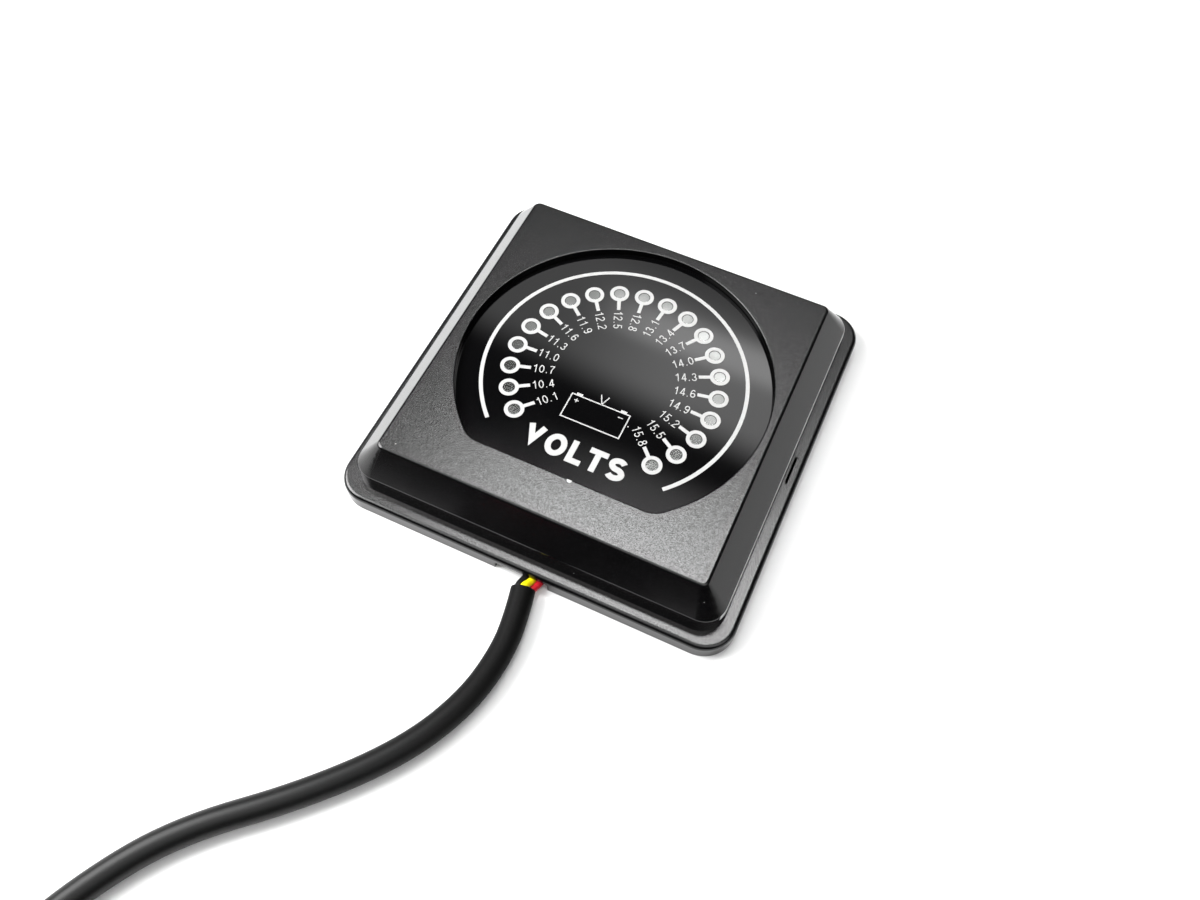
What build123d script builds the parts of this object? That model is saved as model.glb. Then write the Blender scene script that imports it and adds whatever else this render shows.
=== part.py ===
"""Battery voltmeter display head: a square flanged case with a D-shaped dial of twenty LEDs and a lead.

Millimetres, +Z up.  The origin is the middle of the case's flat back, which lies on z = 0.
The lead leaves the case at the front, towards -Y.
"""
from build123d import *
import math
import os

# ---------------------------------------------------------------- case
FLANGE_WIDTH = 90.0
FLANGE_DEPTH = 90.8
FLANGE_FRONT_Y = -FLANGE_DEPTH / 2
FLANGE_HEIGHT = 4.2
FLANGE_CORNER = 7.0
FLANGE_EDGE = 1.0
FLOOR_THICKNESS = 2.0

FOOT_WIDTH = 83.9
FOOT_DEPTH = 84.3
FOOT_CORNER = 5.6
RIDGE_WIDTH = 83.4
RIDGE_DEPTH = 83.2
RIDGE_CORNER = 4.9
RIDGE_HEIGHT = 8.3
RIDGE_EDGE = 0.45
TOP_WIDTH = 73.3
TOP_DEPTH = 74.2
TOP_CORNER = 1.4
TOP_EDGE = 0.8
CASE_HEIGHT = 15.0

WALL = 2.0
SHOULDER_DROP = 0.7
SHOULDER_INSET = 0.25
TOP_SIDE_WALL = 1.2
LIP_GAP = 0.2
LIP_THICKNESS = 1.2
LIP_HEIGHT = 2.2
EDGE_BAND = 0.01

# ---------------------------------------------------------------- dial window
WINDOW_RADIUS = 34.4
WINDOW_CENTRE = (0.4, 0.25)
WINDOW_EDGE = 0.3
WINDOW_FLAT_Y = -27.2
WINDOW_CORNER = 5.2
PANEL_OVERLAP = 1.0
PANEL_CLEARANCE = 0.15
PANEL_TOP = 13.3
PANEL_THICKNESS = 1.5
SEAL_THICKNESS = 0.3

# ---------------------------------------------------------------- twenty LEDs on an arc
LED_COUNT = 20
LED_RADIUS = 22.9
LED_STEP = 14.3
PANEL_HOLE = 2.6
TOWER_DIAMETER = 2.5
TOWER_BELOW_PANEL = 0.05
TOWER_EDGE = 0.06
TOWER_CLEARANCE = 0.15
COLLAR_DIAMETER = 3.2
COLLAR_HEIGHT = 1.0
LEG_SIZE = 0.45
LEG_SPREAD = 0.635
LEG_HOLE = 0.8
LEG_PAST_BOARD = 0.8
HOLDER_THICKNESS = 1.0
HOLDER_WIDTH = 6.0
HOLDER_GAP_DEGREES = 70.0
HOLDER_FOOT = 2.4
HOLDER_FEET_AFTER = (0, 6, 12, 18)

# ---------------------------------------------------------------- circuit board
BOARD_SIZE = 75.0
BOARD_CORNER = 3.0
BOARD_THICKNESS = 1.6
BOARD_BOTTOM = 4.9
POST_DIAMETER = 6.0
POST_PLACE = 32.0
SCREW_SHANK = 2.2
SCREW_HEAD = 4.0
SCREW_HEAD_HEIGHT = 1.4
SCREW_LENGTH = 3.4
SCREW_CLEARANCE = 2.6
SCREW_HEAD_EDGE = 0.5
SCREW_CROSS = (2.2, 0.5)
SCREW_CROSS_DEPTH = 0.8
PILOT_INTO_FLOOR = 1.0
CORE_HOLE = 1.0
SOLDER_FOOT_RADIUS = 1.0
SOLDER_TIP_RADIUS = 0.35
SOLDER_HEIGHT = 0.9

# ---------------------------------------------------------------- parts on the board, placed on its top
CHIP_STANDOFF = 0.1
CHIP_BEVEL = 0.15
CHIP_LEAD_WIDTH = 0.36
CHIP_LEAD_THICKNESS = 0.25
CHIP_LEAD_REACH = 0.9
CHIP_LEAD_OVERLAP = 0.1
MICROCONTROLLER_PLACE = (-6.0, 4.0)
MICROCONTROLLER_SIZE = (7.0, 7.0, 1.5)
LED_DRIVER_PLACE = (7.5, 4.0)
LED_DRIVER_SIZE = (10.0, 3.9, 1.6)
CHIP_LEADS = 8
MICROCONTROLLER_PITCH = 0.8
LED_DRIVER_PITCH = 1.27
POWER_ROW_Y = -32.5
REGULATOR_X = 18.0
REGULATOR_SIZE = (6.5, 3.5, 1.7)
REGULATOR_TAB = (3.0, 1.75)
REGULATOR_LEAD = (0.7, 1.65)
REGULATOR_PITCH = 2.3
REGULATOR_METAL = 0.6
CAPACITOR_X = -18.0
CAPACITOR_PLINTH = (5.3, 0.8)
CAPACITOR_CAN = (5.0, 5.2)
CAPACITOR_EDGE = 0.4
DIODE_X = -9.0
DIODE_SIZE = (4.4, 3.6, 2.3)
DIODE_TAB = (0.9, 2.0, 0.5)
RESISTOR_COUNT = 10
RESISTOR_PITCH = 2.5
RESISTOR_SIZE = (1.25, 2.0, 0.5)
RESISTOR_ROW_Y = -8.0
CERAMIC_PLACES = ((-13.5, 4.0), (-6.0, 10.5), (0.8, 8.0), (7.5, 9.0), (15.5, 4.0))
CERAMIC_SIZE = (1.6, 0.8, 0.8)

# ---------------------------------------------------------------- snap catches, one each side
TONGUE_WIDTH = 8.8
TONGUE_THICKNESS = 1.0
TONGUE_ROOT = 1.0
TONGUE_TIP_Z = 0.7
BARB_REACH = 0.8
LEDGE_HEIGHT = 2.3
CATCH_GAP = 0.2

# ---------------------------------------------------------------- pry slot in the flange, one each side
PRY_SLOT_LENGTH = 7.2
PRY_SLOT_WIDTH = 1.0
PRY_SLOT_Y = 0.35
PRY_SLOT_GAP = 0.35
PRY_SLOT_DEPTH = 0.2
PRY_PIT_WIDTH = 0.6
PRY_PIT_LOW = 2.6
PRY_PIT_HIGH = 3.7

# ---------------------------------------------------------------- lead
CHANNEL_WIDTH = 12.1
CHANNEL_CENTRE_X = 0.25
CHANNEL_HEIGHT = 2.6
CHANNEL_CORNER = 0.9
CHANNEL_END_Y = -33.0
CUT_PAST = 1.0
WIRE_LANES = ((-1, "black"), (0, "yellow"), (1, "red"))
WIRE_DIAMETER = 1.55
WIRE_PITCH = 1.6
WIRE_MIDDLE_X = 3.1
WIRE_FLOOR_Z = 1.35
PAD_PITCH = 2.1
PAD_Y = -34.6
JACKET_DIAMETER = 5.2
CORE_RADIUS = 0.92
CORE_SPLAY = 1.9
MOUTH_LIFT = 0.12
MOUTH_SHIFT = 0.2
MOUTH_AHEAD = 0.1
CHANNEL_ENTRY = 3.2
BEND_LIFT = 0.1
RISE_LIFT = 1.2
CORE_HIDDEN = 1.0
CORE_FREE = 0.6
RISE_RUN = 2.0

JACKET_START = (2.3, -48.3)
ROUTE = [
    JACKET_START,
    (3.6, -53.6),
    (4.6, -62.0),
    (3.0, -73.5),
    (-3.2, -86.6),
    (-16.0, -101.4),
    (-33.0, -116.2),
    (-42.2, -130.5),
    (-48.8, -147.0),
    (-53.6, -162.0),
]

COIL_CENTRE = (-20.0, -178.0)
COIL_MIDDLE_RADIUS = 28.5
COIL_COLUMNS = 2.5
COIL_LAYERS = 3
COIL_ENTRY_DEGREES = 170.0
COIL_EDGE = 2.4
TOP_TURN_START = 10.0
TOP_TURN_SWEEP = 70.0
TAIL_LENGTH_DEGREES = (62.0, 72.0, 66.0)
TINNED_DEGREES = 12.0
TINNED_DIAMETER = 0.9
TIE_WIDTH = 2.6
TIE_THICKNESS = 1.0
TIE_DEGREES = 300.0
TIE_HEAD = (4.6, 4.2, 3.6)
TIE_HEAD_EDGE = 0.5
TIE_OUTER_BEND = 3.0
TIE_INNER_BEND = 2.2


# ---------------------------------------------------------------- shared shapes
def place(shape, x=0.0, y=0.0, z=0.0):
    return Pos(x, y, z) * shape


def prism(sketch, z_low, z_high):
    return place(extrude(sketch, amount=z_high - z_low), z=z_low)


def block(x, y, z):
    """A box from (low, high) pairs."""
    size = Box(x[1] - x[0], y[1] - y[0], z[1] - z[0])
    return place(size, (x[0] + x[1]) / 2, (y[0] + y[1]) / 2, (z[0] + z[1]) / 2)


def rod(diameter, x, y, z_low, z_high):
    return prism(place(Circle(diameter / 2), x, y), z_low, z_high)


def rounded_section(width, depth, corner, z):
    return place(RectangleRounded(width, depth, corner), z=z)


def tapered(lower, upper):
    """A ruled solid between two rounded rectangles, each (width, depth, corner, z)."""
    return loft([rounded_section(*lower), rounded_section(*upper)], ruled=True)


def window_face(grow=0.0):
    """The D of the dial window, offset outwards by grow."""
    disc = place(Circle(WINDOW_RADIUS + grow), *WINDOW_CENTRE)
    low = WINDOW_FLAT_Y - grow
    below = place(Rectangle(4 * WINDOW_RADIUS, 2 * WINDOW_RADIUS), y=low - WINDOW_RADIUS)
    cut = disc - below
    return fillet(cut.vertices(), WINDOW_CORNER + grow)


def led_angle(index):
    """Degrees anticlockwise from +X; the first LED is at the lower left, the last at the lower right."""
    return 90.0 + ((LED_COUNT - 1) / 2 - index) * LED_STEP


def led_place(index, radius=LED_RADIUS):
    angle = math.radians(led_angle(index))
    centre_x, centre_y = WINDOW_CENTRE
    return centre_x + radius * math.cos(angle), centre_y + radius * math.sin(angle)


def at_leds(shape, z=0.0):
    copies = []
    for index in range(LED_COUNT):
        x, y = led_place(index)
        copies.append(Pos(x, y, z) * Rot(0, 0, led_angle(index)) * shape)
    return copies


# ---------------------------------------------------------------- case parts
def catch_side(shape, side):
    """A catch feature drawn for the right-hand side, or its mirror image for the left."""
    return shape if side > 0 else mirror(shape, about=Plane.YZ)


def pry_slot():
    """A shallow slot on the right-hand side with a pit along its inner half, whose floor slopes."""
    inner = FOOT_WIDTH / 2 + PRY_SLOT_GAP
    outer = inner + PRY_SLOT_WIDTH
    outline = SlotOverall(PRY_SLOT_LENGTH, PRY_SLOT_WIDTH, rotation=90)
    outline = place(outline, (inner + outer) / 2, PRY_SLOT_Y)
    shelf = prism(outline, FLANGE_HEIGHT - PRY_SLOT_DEPTH, FLANGE_HEIGHT)
    pit_outer = inner + PRY_PIT_WIDTH
    section = make_face(
        Polyline(
            (inner, PRY_PIT_LOW),
            (pit_outer, PRY_PIT_HIGH),
            (pit_outer, FLANGE_HEIGHT),
            (inner, FLANGE_HEIGHT),
            close=True,
        )
    )
    pit = extrude(Plane.XZ * section, amount=PRY_SLOT_LENGTH / 2, both=True)
    return shelf + (place(pit, y=PRY_SLOT_Y) & prism(outline, PRY_PIT_LOW, FLANGE_HEIGHT))


def make_base_tray():
    half_tongue = TONGUE_WIDTH / 2
    tongue_inner = FOOT_WIDTH / 2 - WALL + CATCH_GAP
    tongue_outer = tongue_inner + TONGUE_THICKNESS
    pocket_outer = tongue_outer + BARB_REACH + CATCH_GAP

    slab = prism(RectangleRounded(FLANGE_WIDTH, FLANGE_DEPTH, FLANGE_CORNER), 0, FLANGE_HEIGHT)
    rim = slab.edges().group_by(Axis.Z)[-1]
    tray = fillet(rim, FLANGE_EDGE)

    lip_width = FOOT_WIDTH - 2 * (WALL + LIP_GAP)
    lip_depth = FOOT_DEPTH - 2 * (WALL + LIP_GAP)
    lip_corner = FOOT_CORNER - WALL
    lip = RectangleRounded(lip_width, lip_depth, lip_corner)
    tray += prism(lip, FLOOR_THICKNESS, FLANGE_HEIGHT + LIP_HEIGHT)
    well_width = lip_width - 2 * LIP_THICKNESS
    well_depth = lip_depth - 2 * LIP_THICKNESS
    well = RectangleRounded(well_width, well_depth, lip_corner - LIP_THICKNESS)
    tray -= prism(well, FLOOR_THICKNESS, FLANGE_HEIGHT + LIP_HEIGHT)

    for x in (-POST_PLACE, POST_PLACE):
        for y in (-POST_PLACE, POST_PLACE):
            tray += rod(POST_DIAMETER, x, y, FLOOR_THICKNESS, BOARD_BOTTOM)
            tray -= rod(SCREW_SHANK, x, y, FLOOR_THICKNESS - PILOT_INTO_FLOOR, BOARD_BOTTOM)

    for side in (-1, 1):
        pocket = block(
            (tongue_inner - CATCH_GAP, pocket_outer),
            (-half_tongue - CATCH_GAP, half_tongue + CATCH_GAP),
            (0, LEDGE_HEIGHT),
        )
        tongue_slot = block(
            (tongue_inner - CATCH_GAP, tongue_outer + CATCH_GAP),
            (-half_tongue - CATCH_GAP, half_tongue + CATCH_GAP),
            (0, FLANGE_HEIGHT),
        )
        tray -= catch_side(pocket, side)
        tray -= catch_side(tongue_slot, side)
        tray -= catch_side(pry_slot(), side)

    mouth = Rectangle(CHANNEL_WIDTH, 2 * CHANNEL_HEIGHT)
    mouth = fillet(mouth.vertices(), CHANNEL_CORNER)
    channel = extrude(Plane.XZ * mouth, amount=FLANGE_DEPTH / 2 + CUT_PAST + CHANNEL_END_Y)
    tray -= place(channel, CHANNEL_CENTRE_X, CHANNEL_END_Y, 0)
    return tray


def make_top_cover():
    foot = (FOOT_WIDTH, FOOT_DEPTH, FOOT_CORNER, FLANGE_HEIGHT)
    ridge = (RIDGE_WIDTH, RIDGE_DEPTH, RIDGE_CORNER, RIDGE_HEIGHT)
    top = (TOP_WIDTH, TOP_DEPTH, TOP_CORNER, CASE_HEIGHT)
    cover = tapered(foot, ridge) + tapered(ridge, top)
    for height, radius in ((CASE_HEIGHT, TOP_EDGE), (RIDGE_HEIGHT, RIDGE_EDGE)):
        rim = cover.edges().filter_by_position(Axis.Z, height - EDGE_BAND, height + EDGE_BAND)
        cover = fillet(rim, radius)

    ceiling = CASE_HEIGHT - WALL
    shoulder = RIDGE_HEIGHT - SHOULDER_DROP
    ridge_wall = 2 * (WALL + SHOULDER_INSET)
    top_wall = 2 * TOP_SIDE_WALL
    hollow_foot = (FOOT_WIDTH - 2 * WALL, FOOT_DEPTH - 2 * WALL, FOOT_CORNER - WALL, FLANGE_HEIGHT)
    hollow_ridge = (FOOT_WIDTH - ridge_wall, FOOT_DEPTH - ridge_wall, RIDGE_CORNER - WALL, shoulder)
    hollow_top = (TOP_WIDTH - top_wall, TOP_DEPTH - top_wall, TOP_CORNER, ceiling)
    cover -= tapered(hollow_foot, hollow_ridge)
    cover -= tapered(hollow_ridge, hollow_top)

    rebate_top = PANEL_TOP + SEAL_THICKNESS
    cover -= prism(window_face(PANEL_OVERLAP + PANEL_CLEARANCE), holder_top(), rebate_top)
    cover -= prism(window_face(), rebate_top, CASE_HEIGHT)
    window_rim = cover.faces().sort_by(Axis.Z)[-1].inner_wires()[0]
    cover = fillet(window_rim.edges(), WINDOW_EDGE)

    inner = FOOT_WIDTH / 2 - WALL + CATCH_GAP
    outer = inner + TONGUE_THICKNESS
    root = FLANGE_HEIGHT + TONGUE_ROOT
    profile = make_face(
        Polyline(
            (inner, root),
            (outer, root),
            (outer, LEDGE_HEIGHT),
            (outer + BARB_REACH, LEDGE_HEIGHT),
            (outer, TONGUE_TIP_Z),
            (inner, TONGUE_TIP_Z),
            close=True,
        )
    )
    tongue = extrude(Plane.XZ * profile, amount=TONGUE_WIDTH / 2, both=True)
    for side in (-1, 1):
        cover += catch_side(tongue, side)
    return cover


def make_panel_seal():
    ring = window_face(PANEL_OVERLAP) - window_face()
    return prism(ring, PANEL_TOP, PANEL_TOP + SEAL_THICKNESS)


def make_dial_panel():
    panel = prism(window_face(PANEL_OVERLAP), PANEL_TOP - PANEL_THICKNESS, PANEL_TOP)
    return panel - at_leds(rod(PANEL_HOLE, 0, 0, PANEL_TOP - PANEL_THICKNESS, PANEL_TOP))


# ---------------------------------------------------------------- LEDs and their holder
def holder_top():
    return PANEL_TOP - PANEL_THICKNESS


def collar_top():
    return holder_top() - HOLDER_THICKNESS


def board_top():
    return BOARD_BOTTOM + BOARD_THICKNESS


def make_led_holder():
    outer = Circle(LED_RADIUS + HOLDER_WIDTH / 2)
    inner = Circle(LED_RADIUS - HOLDER_WIDTH / 2)
    reach = 2 * LED_RADIUS
    half_gap = math.radians(HOLDER_GAP_DEGREES / 2)
    wedge = make_face(
        Polyline(
            (0, 0),
            (-reach * math.tan(half_gap), -reach),
            (reach * math.tan(half_gap), -reach),
            close=True,
        )
    )
    ring = place(outer - inner - wedge, *WINDOW_CENTRE)
    holder = prism(ring, collar_top(), holder_top())
    for index in HOLDER_FEET_AFTER:
        x, y = led_place(index + 0.5)
        holder += rod(HOLDER_FOOT, x, y, board_top(), collar_top())
    return holder - at_leds(rod(TOWER_DIAMETER + TOWER_CLEARANCE, 0, 0, collar_top(), holder_top()))


def make_led():
    """One LED standing at the origin: collar, flat-topped tower and two square legs."""
    collar_bottom = collar_top() - COLLAR_HEIGHT
    led = rod(COLLAR_DIAMETER, 0, 0, collar_bottom, collar_top())
    tower = rod(TOWER_DIAMETER, 0, 0, collar_top(), PANEL_TOP - TOWER_BELOW_PANEL)
    tower = fillet(tower.edges().group_by(Axis.Z)[-1], TOWER_EDGE)
    led += tower
    half = LEG_SIZE / 2
    for offset in (-LEG_SPREAD, LEG_SPREAD):
        legs = (offset - half, offset + half)
        led += block(legs, (-half, half), (BOARD_BOTTOM - LEG_PAST_BOARD, collar_bottom))
    return led


# ---------------------------------------------------------------- circuit board and what is on it
def make_circuit_board():
    board = prism(RectangleRounded(BOARD_SIZE, BOARD_SIZE, BOARD_CORNER), BOARD_BOTTOM, board_top())
    for offset in (-LEG_SPREAD, LEG_SPREAD):
        board -= at_leds(rod(LEG_HOLE, offset, 0, BOARD_BOTTOM, board_top()))
    for x in (-POST_PLACE, POST_PLACE):
        for y in (-POST_PLACE, POST_PLACE):
            board -= rod(SCREW_CLEARANCE, x, y, BOARD_BOTTOM, board_top())
    for lane in (-1, 0, 1):
        board -= rod(CORE_HOLE, WIRE_MIDDLE_X + lane * PAD_PITCH, PAD_Y, BOARD_BOTTOM, board_top())
    return board


def make_board_screws():
    screws = []
    for x in (-POST_PLACE, POST_PLACE):
        for y in (-POST_PLACE, POST_PLACE):
            head_top = board_top() + SCREW_HEAD_HEIGHT
            head = rod(SCREW_HEAD, x, y, board_top(), head_top)
            head = fillet(head.edges().group_by(Axis.Z)[-1], SCREW_HEAD_EDGE)
            recess = Rectangle(*SCREW_CROSS) + Rectangle(*reversed(SCREW_CROSS))
            head -= prism(place(recess, x, y), head_top - SCREW_CROSS_DEPTH, head_top)
            shank = rod(SCREW_SHANK, x, y, board_top() - SCREW_LENGTH, board_top())
            screws.append(head + shank)
    return Compound(children=screws)


def standing_block(size, x=0.0, y=0.0, z=0.0):
    """A box of that size standing on the height z, its middle over (x, y)."""
    return block((x - size[0] / 2, x + size[0] / 2), (y - size[1] / 2, y + size[1] / 2), (z, z + size[2]))


def on_board(shape, x, y):
    return place(shape, x, y, board_top())


def chip(size, pitch, four_sides=False):
    """A moulded chip with a row of gull-wing leads along two or four sides, standing on z = 0."""
    length, width, height = size
    body = standing_block((length, width, height - CHIP_STANDOFF), z=CHIP_STANDOFF)
    body = chamfer(body.edges().group_by(Axis.Z)[-1], CHIP_BEVEL)
    sides = [(0, width)]
    if four_sides:
        sides.append((90, length))
    lead = (CHIP_LEAD_WIDTH, CHIP_LEAD_REACH + CHIP_LEAD_OVERLAP, CHIP_LEAD_THICKNESS)
    for turn, across in sides:
        middle = across / 2 + (CHIP_LEAD_REACH - CHIP_LEAD_OVERLAP) / 2
        for number in range(CHIP_LEADS):
            x = (number - (CHIP_LEADS - 1) / 2) * pitch
            for side in (-1, 1):
                body += Rot(0, 0, turn) * standing_block(lead, x, side * middle)
    return body


def make_microcontroller():
    package = chip(MICROCONTROLLER_SIZE, MICROCONTROLLER_PITCH, four_sides=True)
    return on_board(package, *MICROCONTROLLER_PLACE)


def make_led_driver():
    return on_board(chip(LED_DRIVER_SIZE, LED_DRIVER_PITCH), *LED_DRIVER_PLACE)


def make_voltage_regulator():
    half_depth = REGULATOR_SIZE[1] / 2
    tab_width, tab_reach = REGULATOR_TAB
    lead_width, lead_reach = REGULATOR_LEAD
    regulator = standing_block(REGULATOR_SIZE)
    regulator += standing_block((tab_width, tab_reach, REGULATOR_METAL), y=half_depth + tab_reach / 2)
    for number in (-1, 0, 1):
        lead = (lead_width, lead_reach, REGULATOR_METAL)
        regulator += standing_block(lead, number * REGULATOR_PITCH, -half_depth - lead_reach / 2)
    return on_board(regulator, REGULATOR_X, POWER_ROW_Y)


def make_input_capacitor():
    plinth_size, plinth_height = CAPACITOR_PLINTH
    can_diameter, can_top = CAPACITOR_CAN
    can = rod(can_diameter, 0, 0, plinth_height, can_top)
    can = fillet(can.edges().group_by(Axis.Z)[-1], CAPACITOR_EDGE)
    plinth = standing_block((plinth_size, plinth_size, plinth_height))
    return on_board(plinth + can, CAPACITOR_X, POWER_ROW_Y)


def make_protection_diode():
    length, width, height = DIODE_SIZE
    diode = standing_block((length, width, height - CHIP_STANDOFF), z=CHIP_STANDOFF)
    for side in (-1, 1):
        diode += standing_block(DIODE_TAB, side * (length + DIODE_TAB[0] / 2) / 2)
    return on_board(diode, DIODE_X, POWER_ROW_Y)


def make_resistors():
    first = -(RESISTOR_COUNT - 1) / 2 * RESISTOR_PITCH
    row = []
    for number in range(RESISTOR_COUNT):
        resistor = standing_block(RESISTOR_SIZE, first + number * RESISTOR_PITCH)
        row.append(on_board(resistor, 0.0, RESISTOR_ROW_Y))
    return Compound(children=row)


def make_ceramic_capacitors():
    return Compound(children=[on_board(standing_block(CERAMIC_SIZE), x, y) for x, y in CERAMIC_PLACES])


def make_solder_joints():
    joints = []
    for lane in (-1, 0, 1):
        x = WIRE_MIDDLE_X + lane * PAD_PITCH
        core = rod(CORE_HOLE, x, PAD_Y, BOARD_BOTTOM, board_top())
        standing = (Align.CENTER, Align.CENTER, Align.MIN)
        mound = Cone(SOLDER_FOOT_RADIUS, SOLDER_TIP_RADIUS, SOLDER_HEIGHT, align=standing)
        joints.append(core + on_board(mound, x, PAD_Y))
    return Compound(children=joints)


# ---------------------------------------------------------------- lead
def bend_radii(points):
    """For each inner point, 0.45 of the shorter run over the tangent of half the turn."""
    radii = []
    for before, here, after in zip(points, points[1:], points[2:]):
        run_in = Vector(*here) - Vector(*before)
        run_out = Vector(*after) - Vector(*here)
        half_turn = math.radians(run_in.get_angle(run_out)) / 2
        radii.append(0.45 * min(run_in.length, run_out.length) / math.tan(half_turn))
    return radii


def tube(points, diameter):
    """A round solid along straight runs joined by tangent arcs."""
    radii = bend_radii(points)
    path = FilletPolyline(*points, radius=radii)
    section = Plane(origin=path @ 0, z_dir=path % 0) * Circle(diameter / 2)
    solid = sweep(section, path=path)
    area = math.pi * diameter ** 2 / 4
    print("  length", round(path.length, 1), "radii", [round(radius, 1) for radius in radii])
    print("  volume over section x length", round(solid.volume / (area * path.length), 4))
    return solid


def make_wire(lane, jacket):
    """One insulated core: from the jacket's end, spreading, low through the channel and up to the board."""
    core_angle = math.radians(90 - 120 * lane)
    core_x = CORE_RADIUS * math.cos(core_angle)
    core_z = JACKET_DIAMETER / 2 + CORE_RADIUS * math.sin(core_angle)
    start_x, start_y = JACKET_START
    lane_x = WIRE_MIDDLE_X + lane * WIRE_PITCH
    pad_x = WIRE_MIDDLE_X + lane * PAD_PITCH
    mouth_z = WIRE_FLOOR_Z + MOUTH_LIFT * (core_z - WIRE_FLOOR_Z)
    points = [
        (start_x + core_x, start_y - CORE_HIDDEN, core_z),
        (start_x + core_x * CORE_SPLAY, start_y + CORE_FREE, core_z),
        (lane_x - MOUTH_SHIFT, FLANGE_FRONT_Y - MOUTH_AHEAD, mouth_z),
        (lane_x, FLANGE_FRONT_Y + CHANNEL_ENTRY, WIRE_FLOOR_Z),
        (pad_x, PAD_Y - RISE_RUN, WIRE_FLOOR_Z + BEND_LIFT),
        (pad_x, PAD_Y, WIRE_FLOOR_Z + RISE_LIFT),
        (pad_x, PAD_Y, BOARD_BOTTOM),
    ]
    return tube(points, WIRE_DIAMETER) - jacket


def coil_inner_radius():
    return COIL_MIDDLE_RADIUS - (COIL_COLUMNS + 1) * JACKET_DIAMETER / 2


def coil_outer_radius():
    return COIL_MIDDLE_RADIUS + (COIL_COLUMNS + 1) * JACKET_DIAMETER / 2


def coil_height():
    return COIL_LAYERS * JACKET_DIAMETER


def make_coil_tie():
    """A nylon tie round the coil's section, with its square head on the outside."""
    radial = (coil_inner_radius(), coil_outer_radius())
    loop = block(
        (radial[0] - TIE_THICKNESS, radial[1] + TIE_THICKNESS),
        (-TIE_WIDTH / 2, TIE_WIDTH / 2),
        (0, coil_height() + TIE_THICKNESS),
    )
    loop = fillet(loop.edges().filter_by(Axis.Y), TIE_OUTER_BEND)
    hole = block(radial, (-TIE_WIDTH / 2, TIE_WIDTH / 2), (TIE_THICKNESS, coil_height()))
    loop -= fillet(hole.edges().filter_by(Axis.Y), TIE_INNER_BEND)
    middle_z = coil_height() / 2
    head = block(
        (radial[1] + TIE_THICKNESS, radial[1] + TIE_THICKNESS + TIE_HEAD[0]),
        (-TIE_HEAD[1] / 2, TIE_HEAD[1] / 2),
        (middle_z - TIE_HEAD[2] / 2, middle_z + TIE_HEAD[2] / 2),
    )
    head = chamfer(head.edges().filter_by(Axis.X), TIE_HEAD_EDGE)
    return Pos(COIL_CENTRE[0], COIL_CENTRE[1], 0) * Rot(0, 0, TIE_DEGREES) * (loop + head)


def make_cable_coil(tie):
    ring = Circle(coil_outer_radius()) - Circle(coil_inner_radius())
    coil = prism(ring, 0, coil_height())
    coil = fillet(coil.edges(), COIL_EDGE)
    return place(coil, COIL_CENTRE[0], COIL_CENTRE[1]) - tie


def on_coil(radius, degrees, z):
    angle = math.radians(degrees)
    return COIL_CENTRE[0] + radius * math.cos(angle), COIL_CENTRE[1] + radius * math.sin(angle), z


def arc_tube(radius, start, sweep_degrees, z, diameter):
    """A round solid that lies on the coil, along its turns."""
    section = Plane.XZ * place(Circle(diameter / 2), radius)
    turned = revolve(section, axis=Axis.Z, revolution_arc=sweep_degrees)
    return Pos(COIL_CENTRE[0], COIL_CENTRE[1], z) * Rot(0, 0, start) * turned


def make_cable_jacket(coil):
    centre_z = JACKET_DIAMETER / 2
    entry = on_coil(coil_outer_radius() - JACKET_DIAMETER / 2, COIL_ENTRY_DEGREES, centre_z)
    points = [(x, y, centre_z) for x, y in ROUTE] + [entry]
    return tube(points, JACKET_DIAMETER) - coil


def make_lead():
    tie = make_coil_tie()
    coil = make_cable_coil(tie)
    rest_z = coil_height() + JACKET_DIAMETER / 2
    wire_z = coil_height() + WIRE_DIAMETER / 2
    end = arc_tube(COIL_MIDDLE_RADIUS, TOP_TURN_START, TOP_TURN_SWEEP, rest_z, JACKET_DIAMETER)
    nodes = {"cable_jacket": make_cable_jacket(coil), "cable_coil": coil, "coil_tie": tie, "cable_end": end}
    tail_start = TOP_TURN_START + TOP_TURN_SWEEP
    tinned = []
    for lane, colour in WIRE_LANES:
        radius = COIL_MIDDLE_RADIUS + lane * WIRE_PITCH
        sweep_degrees = TAIL_LENGTH_DEGREES[lane + 1]
        nodes["tail_" + colour] = arc_tube(radius, tail_start, sweep_degrees, wire_z, WIRE_DIAMETER)
        tinned.append(arc_tube(radius, tail_start + sweep_degrees, TINNED_DEGREES, wire_z, TINNED_DIAMETER))
    nodes["tinned_ends"] = Compound(children=tinned)
    return nodes


# ---------------------------------------------------------------- all nodes
def make_nodes():
    nodes = {
        "base_tray": make_base_tray(),
        "top_cover": make_top_cover(),
        "panel_seal": make_panel_seal(),
        "dial_panel": make_dial_panel(),
        "led_holder": make_led_holder(),
        "circuit_board": make_circuit_board(),
        "board_screws": make_board_screws(),
        "microcontroller": make_microcontroller(),
        "led_driver": make_led_driver(),
        "voltage_regulator": make_voltage_regulator(),
        "input_capacitor": make_input_capacitor(),
        "protection_diode": make_protection_diode(),
        "resistors": make_resistors(),
        "ceramic_capacitors": make_ceramic_capacitors(),
        "solder_joints": make_solder_joints(),
    }
    led = make_led()
    for index, standing in enumerate(at_leds(led)):
        nodes["led_%02d" % (index + 1)] = standing
    nodes.update(make_lead())
    for lane, colour in WIRE_LANES:
        nodes["wire_" + colour] = make_wire(lane, nodes["cable_jacket"])
    return nodes


os.makedirs("parts", exist_ok=True)
for name, shape in make_nodes().items():
    export_step(shape, "parts/" + name + ".step")
    print(name, "done")
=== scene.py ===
import bmesh
import bpy
import math
from mathutils import Matrix, Vector


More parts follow.
